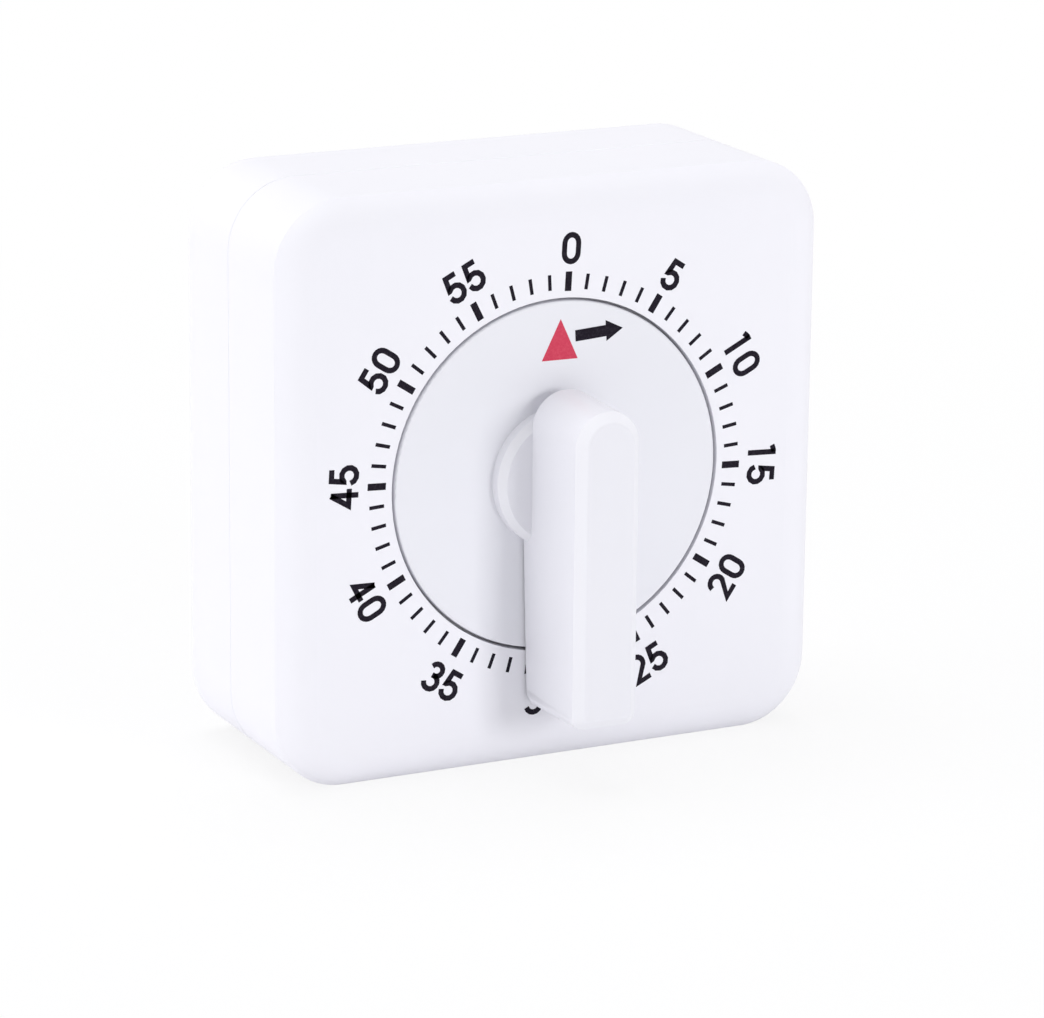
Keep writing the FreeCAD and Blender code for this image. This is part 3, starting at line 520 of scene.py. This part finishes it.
markLook = {
    "Marks": 60,
    "Marks Per Number": 5,
    "Ring Radius": 24.86 * mm,
    "Long Length": 2.48 * mm,
    "Long Width": 0.90 * mm,
    "Short Length": 2.00 * mm,
    "Short Width": 0.47 * mm,
    "Ink Height": printLook["height"],
    "Start Turn": math.radians(2.98),
}


# Bars on a ring about the dial axis, every fifth one longer and wider
def markTree(look):
    tree = bpy.data.node_groups.new("minuteMarks", "GeometryNodeTree")
    face = tree.interface
    face.new_socket("Geometry", in_out="OUTPUT", socket_type="NodeSocketGeometry")
    for name, value in look.items():
        kind = "NodeSocketInt" if isinstance(value, int) else "NodeSocketFloat"
        face.new_socket(name, in_out="INPUT", socket_type=kind)
    face.new_socket("Axis", in_out="INPUT", socket_type="NodeSocketVector")
    face.new_socket("Ink", in_out="INPUT", socket_type="NodeSocketMaterial")
    given = addNode(tree, "NodeGroupInput", (-1400, 0)).outputs
    links = tree.links

    def maths(operation, first, second=None, third=None):
        node = addNode(tree, "ShaderNodeMath", (-900, 0), operation=operation)
        for socket, value in zip(node.inputs, (first, second, third)):
            if isinstance(value, (int, float)):
                socket.default_value = value
            elif value is not None:
                links.new(value, socket)
        return node.outputs[0]

    def vector(x, y, z):
        node = addNode(tree, "ShaderNodeCombineXYZ", (-600, 0))
        for socket, value in zip(node.inputs, (x, y, z)):
            if isinstance(value, (int, float)):
                socket.default_value = value
            else:
                links.new(value, socket)
        return node.outputs[0]

    def choose(isLong, short, long):
        node = addNode(tree, "GeometryNodeSwitch", (-600, -200), input_type="FLOAT")
        links.new(isLong, node.inputs["Switch"])
        links.new(short, node.inputs["False"])
        links.new(long, node.inputs["True"])
        return node.outputs[0]

    index = addNode(tree, "GeometryNodeInputIndex", (-1200, 300)).outputs[0]
    step = maths("DIVIDE", 2 * math.pi, given["Marks"])
    turn = maths("MULTIPLY_ADD", index, step, given["Start Turn"])
    isLong = maths("COMPARE", maths("MODULO", index, given["Marks Per Number"]), 0.0, 0.5)
    right = maths("MULTIPLY", maths("SINE", turn), given["Ring Radius"])
    up = maths("MULTIPLY", maths("COSINE", turn), given["Ring Radius"])
    points = addNode(tree, "GeometryNodePoints", (-300, 0))
    links.new(given["Marks"], points.inputs["Count"])
    links.new(vector(right, 0.0, up), points.inputs["Position"])
    bar = addNode(tree, "GeometryNodeMeshCube", (-300, -200))
    place = addNode(tree, "GeometryNodeInstanceOnPoints", (0, 0))
    links.new(points.outputs[0], place.inputs["Points"])
    links.new(bar.outputs["Mesh"], place.inputs["Instance"])
    links.new(vector(0.0, turn, 0.0), place.inputs["Rotation"])
    width = choose(isLong, given["Short Width"], given["Long Width"])
    length = choose(isLong, given["Short Length"], given["Long Length"])
    links.new(vector(width, given["Ink Height"], length), place.inputs["Scale"])
    real = addNode(tree, "GeometryNodeRealizeInstances", (200, 0))
    links.new(place.outputs[0], real.inputs[0])
    move = addNode(tree, "GeometryNodeTransform", (400, 0))
    links.new(real.outputs[0], move.inputs["Geometry"])
    links.new(given["Axis"], move.inputs["Translation"])
    paint = addNode(tree, "GeometryNodeSetMaterial", (600, 0))
    links.new(move.outputs[0], paint.inputs["Geometry"])
    links.new(given["Ink"], paint.inputs["Material"])
    out = addNode(tree, "NodeGroupOutput", (800, 0))
    links.new(paint.outputs[0], out.inputs[0])
    return tree


# Runs a node tree on an empty mesh and keeps the result as a plain mesh
def treePiece(name, tree, values):
    holder = bpy.data.objects.new(name + "Holder", bpy.data.meshes.new(name + "Holder"))
    scene.collection.objects.link(holder)
    modifier = holder.modifiers.new("build", "NODES")
    modifier.node_group = tree
    for item in tree.interface.items_tree:
        if item.in_out == "INPUT" and item.name in values:
            modifier[item.identifier] = values[item.name]
    bpy.context.view_layer.update()
    made = holder.evaluated_get(bpy.context.evaluated_depsgraph_get())
    data = bpy.data.meshes.new_from_object(made)
    data.name = name
    bpy.data.objects.remove(holder)
    piece = bpy.data.objects.new(name, data)
    scene.collection.objects.link(piece)
    return piece


axisOnFace = (axisX, faceY, axisZ)
marks = treePiece("minuteMarks", markTree(markLook), {**markLook, "Axis": axisOnFace, "Ink": blackInk})
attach(marks, "case")
print("minute marks printed:", markLook["Marks"])


# Pointer and arrow on the dial

pointerLook = {
    "tipRadius": 20.1,
    "baseRadius": 14.9,
    "baseWidth": 5.0,
    "turn": 0.8,           # degrees clockwise
}
arrowLook = {
    "start": (2.35, 17.75),  # middle of the shaft's end
    "length": 6.65,
    "rise": 3.7,           # degrees above level
    "shaftWidth": 1.45,
    "headLength": 2.35,
    "headWidth": 2.70,
}


# Points turned anticlockwise by an angle in degrees, then moved to a centre
def turned(points, angle, centre=(0, 0)):
    c, s = math.cos(math.radians(angle)), math.sin(math.radians(angle))
    return [(centre[0] + u * c - v * s, centre[1] + u * s + v * c) for u, v in points]


def pointerPiece(look):
    mesh = bmesh.new()
    half = look["baseWidth"] / 2
    corners = [(0, look["tipRadius"]), (-half, look["baseRadius"]), (half, look["baseRadius"])]
    addPrism(mesh, turned(corners, -look["turn"]))
    return finishMesh(mesh, "redPointer", redInk)


def arrowPiece(look):
    mesh = bmesh.new()
    neck = look["length"] - look["headLength"]
    shaft, head = look["shaftWidth"] / 2, look["headWidth"] / 2
    half = [(0, -shaft), (neck, -shaft), (neck, -head), (look["length"], 0)]
    outline = half + [(u, -v) for u, v in half[-2::-1]]
    addPrism(mesh, turned(outline, look["rise"], look["start"]))
    return finishMesh(mesh, "turnArrow", blackInk)


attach(pointerPiece(pointerLook), "dial")
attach(arrowPiece(arrowLook), "dial")
print("pointer and arrow printed")


# Lever knob, a copy of the solid whose underside comes closer to the face and narrows downwards

leverLook = {
    "footGap": 1.0 * mm,        # under the solid's bar
    "shownGap": 0.3 * mm,       # under the shown one
    "narrowFrom": 8.0 * mm,     # below the dial axis
    "narrowTo": 27.5 * mm,
    "narrowing": 0.13,          # share of the underside's width taken off at its lower end
    "near": 0.02 * mm,          # points this close to the underside belong to it
}


def leverPiece(look):
    data = frame["nodes"]["lever_knob"].data.copy()
    data.name = "leverKnob"
    footY = faceY - look["footGap"]
    for vert in data.vertices:
        if abs(vert.co.y - footY) < look["near"]:
            below = (axisZ - vert.co.z - look["narrowFrom"]) / (look["narrowTo"] - look["narrowFrom"])
            kept = 1 - look["narrowing"] * min(max(below, 0), 1)
            vert.co.y = faceY - look["shownGap"]
            vert.co.x = axisX + (vert.co.x - axisX) * kept
    piece = bpy.data.objects.new("leverKnob", data)
    scene.collection.objects.link(piece)
    return piece


lever = leverPiece(leverLook)
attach(lever, "dial")
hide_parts("lever_knob")
print("lever fitted")


# Hammer spring, a merged copy of the solid with its long edges cut up

springLook = {
    "foot": (10.05, 3.2, 41.58),  # millimetres; its end on the case
    "tip": (6.65, 3.2, 34.34),    # its end at the hammer
    "longEdge": 4.0 * mm,         # longer edges are cut up
    "cuts": 7,
    "weld": 0.001 * mm,
}


def hammerSpringPiece(look):
    mesh = bmesh.new()
    mesh.from_mesh(frame["nodes"]["hammer_spring"].data)
    bmesh.ops.remove_doubles(mesh, verts=mesh.verts, dist=look["weld"])
    longEdges = [edge for edge in mesh.edges if edge.calc_length() > look["longEdge"]]
    bmesh.ops.subdivide_edges(mesh, edges=longEdges, cuts=look["cuts"])
    return finishMesh(mesh, "hammerSpring", finishes["spring_steel"])


hammerSpring = hammerSpringPiece(springLook)
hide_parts("hammer_spring")
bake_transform(hammerSpring)
print("hammer spring fitted")


# Parting bead, the lip of one shell seen in the joint between the two

beadLook = {
    "seamY": 1.2 * mm,      # where the shells meet
    "halfWidth": 0.20 * mm,
    "sunk": 0.07 * mm,      # under the case's side
    "depth": 0.17 * mm,
    "corner": 9.0 * mm,     # radius, as the case's
    "cornerSteps": 16,
}


def beadPiece(look):
    mesh = bmesh.new()
    centre = (solidHigh.x - solidLow.x) / 2 - look["corner"]
    rings = []
    for sunk, side in ((0, -1), (0, 1), (look["depth"], 1), (look["depth"], -1)):
        radius = look["corner"] - look["sunk"] - sunk
        ring = []
        for cu, cv, start in ((1, 1, 0), (-1, 1, 90), (-1, -1, 180), (1, -1, 270)):
            corner = arcPath(cu * centre, cv * centre, radius, radius,
                             start, start + 90, look["cornerSteps"])
            for u, v in corner:
                ring.append(mesh.verts.new((u, look["seamY"] + side * look["halfWidth"], axisZ + v)))
        rings.append(ring)
    count = len(rings[0])
    for k in range(4):
        one, two = rings[k], rings[(k + 1) % 4]
        for i in range(count):
            j = (i + 1) % count
            mesh.faces.new((one[i], one[j], two[j], two[i]))
    return finishMesh(mesh, "partingBead", casePlastic)


bead = beadPiece(beadLook)
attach(bead, "case")
print("parting bead laid")


# Floor, light and camera

stageLook = {
    "floorSize": 8.0,
    "floorColour": (0.93, 0.93, 0.94, 1),
    "nearWhite": 0.82,      # how far the floor is seen as plain white, over its own shading
    "nearReach": 0.05,      # up to here, in metres from the floor's middle
    "farReach": 0.30,       # from here on it is all white
    "worldColour": (0.98, 0.985, 1.0, 1),
    "worldLight": 0.58,
}
lampLooks = {  # azimuth in degrees from the front towards the right, distance and size in metres
    "keyLamp": {"azimuth": 19, "elevation": 12, "distance": 1.3, "size": 0.36, "share": 0.3},
    "leftLamp": {"azimuth": -100, "elevation": 8, "distance": 1.1, "size": 0.7, "share": 0.445},
    "topLamp": {"azimuth": 184, "elevation": 76, "distance": 1.2, "size": 0.8, "share": 0.415},
}


# 1 for camera, glossy and transmission rays, else 0
def seenDirectly(tree):
    path = addNode(tree, "ShaderNodeLightPath", (-600, 0))
    first = addNode(tree, "ShaderNodeMath", (-400, 0), operation="MAXIMUM")
    second = addNode(tree, "ShaderNodeMath", (-200, 0), operation="MAXIMUM")
    tree.links.new(path.outputs["Is Camera Ray"], first.inputs[0])
    tree.links.new(path.outputs["Is Glossy Ray"], first.inputs[1])
    tree.links.new(first.outputs[0], second.inputs[0])
    tree.links.new(path.outputs["Is Transmission Ray"], second.inputs[1])
    return second.outputs[0]


def floorPiece(look):
    material = bpy.data.materials.new("paleFloor")
    material.use_nodes = True
    tree = material.node_tree
    tree.nodes.clear()
    matt = addNode(tree, "ShaderNodeBsdfDiffuse", (0, 0), Color=look["floorColour"])
    white = addNode(tree, "ShaderNodeEmission", (0, -200))
    share = addNode(tree, "ShaderNodeMath", (0, 200), operation="MULTIPLY")
    reach = addNode(tree, "ShaderNodeVectorMath", (-500, 300), operation="LENGTH")
    tree.links.new(objectPlace(tree), reach.inputs[0])
    whiter = mapValue(tree, reach.outputs["Value"], look["nearWhite"], 1.0,
                      look["nearReach"], look["farReach"])
    tree.links.new(whiter, share.inputs[1])
    mix = addNode(tree, "ShaderNodeMixShader", (200, 0))
    out = addNode(tree, "ShaderNodeOutputMaterial", (400, 0))
    tree.links.new(seenDirectly(tree), share.inputs[0])
    tree.links.new(share.outputs[0], mix.inputs["Fac"])
    tree.links.new(matt.outputs[0], mix.inputs[1])
    tree.links.new(white.outputs[0], mix.inputs[2])
    tree.links.new(mix.outputs[0], out.inputs["Surface"])
    mesh = bmesh.new()
    bmesh.ops.create_grid(mesh, x_segments=1, y_segments=1, size=look["floorSize"] / 2)
    return finishMesh(mesh, "floor", material)


def setWorld(look):
    world = bpy.data.worlds.new("studio")
    scene.world = world
    world.use_nodes = True
    tree = world.node_tree
    tree.nodes.clear()
    light = addNode(tree, "ShaderNodeBackground", (0, 0),
                    Color=look["worldColour"], Strength=look["worldLight"])
    white = addNode(tree, "ShaderNodeBackground", (0, -200), Color=(1, 1, 1, 1), Strength=1.0)
    mix = addNode(tree, "ShaderNodeMixShader", (200, 0))
    out = addNode(tree, "ShaderNodeOutputWorld", (400, 0))
    tree.links.new(seenDirectly(tree), mix.inputs["Fac"])
    tree.links.new(light.outputs[0], mix.inputs[1])
    tree.links.new(white.outputs[0], mix.inputs[2])
    tree.links.new(mix.outputs[0], out.inputs["Surface"])


# A square lamp; share is what it adds to a surface that faces it, where 1 shows a colour as written
def addLamp(name, look, target):
    a, e = math.radians(look["azimuth"]), math.radians(look["elevation"])
    back = Vector((math.sin(a) * math.cos(e), -math.cos(a) * math.cos(e), math.sin(e)))
    data = bpy.data.lights.new(name, "AREA")
    data.size = look["size"]
    data.energy = look["share"] * (math.pi * look["distance"]) ** 2
    lamp = bpy.data.objects.new(name, data)
    lamp.location = target + back * look["distance"]
    lamp.rotation_euler = back.to_track_quat("Z", "Y").to_euler()
    lamp.visible_camera = lamp.visible_glossy = False
    scene.collection.objects.link(lamp)


floorPiece(stageLook)
setWorld(stageLook)
middle = (solidLow + solidHigh) / 2
for lampName, lampLook in lampLooks.items():
    addLamp(lampName, lampLook, middle)

cameraLook = {
    "lens": 162.3,          # millimetres
    "place": (-0.2577, -0.5233, 0.1915),
    "turn": (74.46, -0.57, -26.30),  # degrees
}
cameraData = bpy.data.cameras.new("photoView")
cameraData.lens = cameraLook["lens"]
camera = bpy.data.objects.new("photoView", cameraData)
camera.location = cameraLook["place"]
camera.rotation_euler = [math.radians(angle) for angle in cameraLook["turn"]]
scene.collection.objects.link(camera)
scene.camera = camera
scene.view_settings.view_transform = "Standard"
print("stage set")
